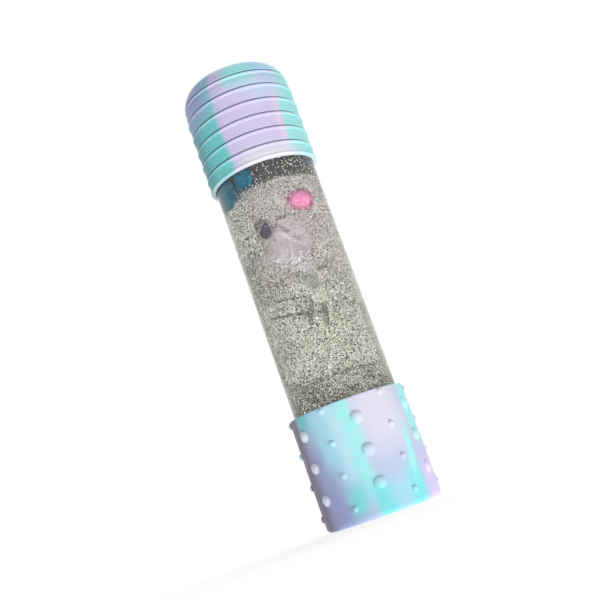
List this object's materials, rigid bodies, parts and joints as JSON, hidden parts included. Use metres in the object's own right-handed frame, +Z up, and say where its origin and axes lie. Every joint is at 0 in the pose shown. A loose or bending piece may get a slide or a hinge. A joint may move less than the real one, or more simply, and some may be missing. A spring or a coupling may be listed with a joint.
{
  "type": "sensory bottle",
  "caption": "Clear screw-top sensory bottle of glitter liquid with loose treasures, a ribbed silicone cap cover and a bumpy silicone boot.",
  "frame": {"origin": "centre of the boot's flat underside", "axes": "+Z up the bottle's axis to the cap, -Y towards the side that the picture shows, +X to its right"},
  "size_m": [0.0632, 0.0636, 0.2465],
  "materials": {
    "boot_silicone": "satin silicone, marbled in aqua, lilac and pale blue",
    "cover_silicone": "satin silicone, marbled in aqua, lilac and pale pink",
    "clear_plastic": "clear and glossy",
    "lid_plastic": "plain moulded white",
    "gasket_silicone": "matte",
    "glitter_fill": "champagne and silver glitter in clear liquid",
    "pompom_pink": "fluffy hot pink",
    "gem_teal": "glossy see-through teal",
    "gem_dark": "glossy dark purple",
    "film_lilac": "crinkled see-through lilac film",
    "leaf_grey": "dark grey with a shine",
    "sequin_grey": "pale grey with a shine"
  },
  "bodies": {
    "boot": {"bumpy_boot": "boot_silicone"},
    "bottle": {"clear_bottle": "clear_plastic", "glitter_liquid": "glitter_fill"},
    "seal": {"lid_gasket": "gasket_silicone"},
    "lid": {"screw_lid": "lid_plastic"},
    "cover": {"ribbed_cover": "cover_silicone"},
    "teal_gems": {"teal_gem_large": "gem_teal", "teal_gem_small": "gem_teal"},
    "pompom": {"pink_pompom": "pompom_pink"},
    "film": {"lilac_film": "film_lilac", "dark_gem": "gem_dark"},
    "leaves": {"leaf_left": "leaf_grey", "leaf_right": "leaf_grey", "oval_sequin": "sequin_grey"}
  },
  "joints": [
    {"name": "boot_pull", "type": "slide", "parent": "boot", "child": "bottle", "axis": [0, 0, 1], "range_m": [0, 0.058]},
    {"name": "lid_lift", "type": "slide", "parent": "bottle", "child": "seal", "axis": [0, 0, 1], "range_m": [0, 0.0061]},
    {"name": "lid_turn", "type": "hinge", "parent": "seal", "child": "lid", "pos_m": [0, 0, 0.24], "axis": [0, 0, 1], "range_deg": [0, 540]},
    {"name": "cover_pull", "type": "slide", "parent": "lid", "child": "cover", "axis": [0, 0, 1], "range_m": [0, 0.056]},
    {"name": "teal_swirl", "type": "hinge", "parent": "bottle", "child": "teal_gems", "pos_m": [0, 0, 0.182], "axis": [0, 0, 1], "continuous": true},
    {"name": "pompom_swirl", "type": "hinge", "parent": "bottle", "child": "pompom", "pos_m": [0, 0, 0.1645], "axis": [0, 0, 1], "continuous": true},
    {"name": "film_swirl", "type": "hinge", "parent": "bottle", "child": "film", "pos_m": [0, 0, 0.142], "axis": [0, 0, 1], "continuous": true},
    {"name": "leaf_swirl", "type": "hinge", "parent": "bottle", "child": "leaves", "pos_m": [0, 0, 0.108], "axis": [0, 0, 1], "continuous": true}
  ],
  "couplings": [
    {"joint": "lid_lift", "follows": "lid_turn", "m_per_rad": 0.00063662}
  ]
}
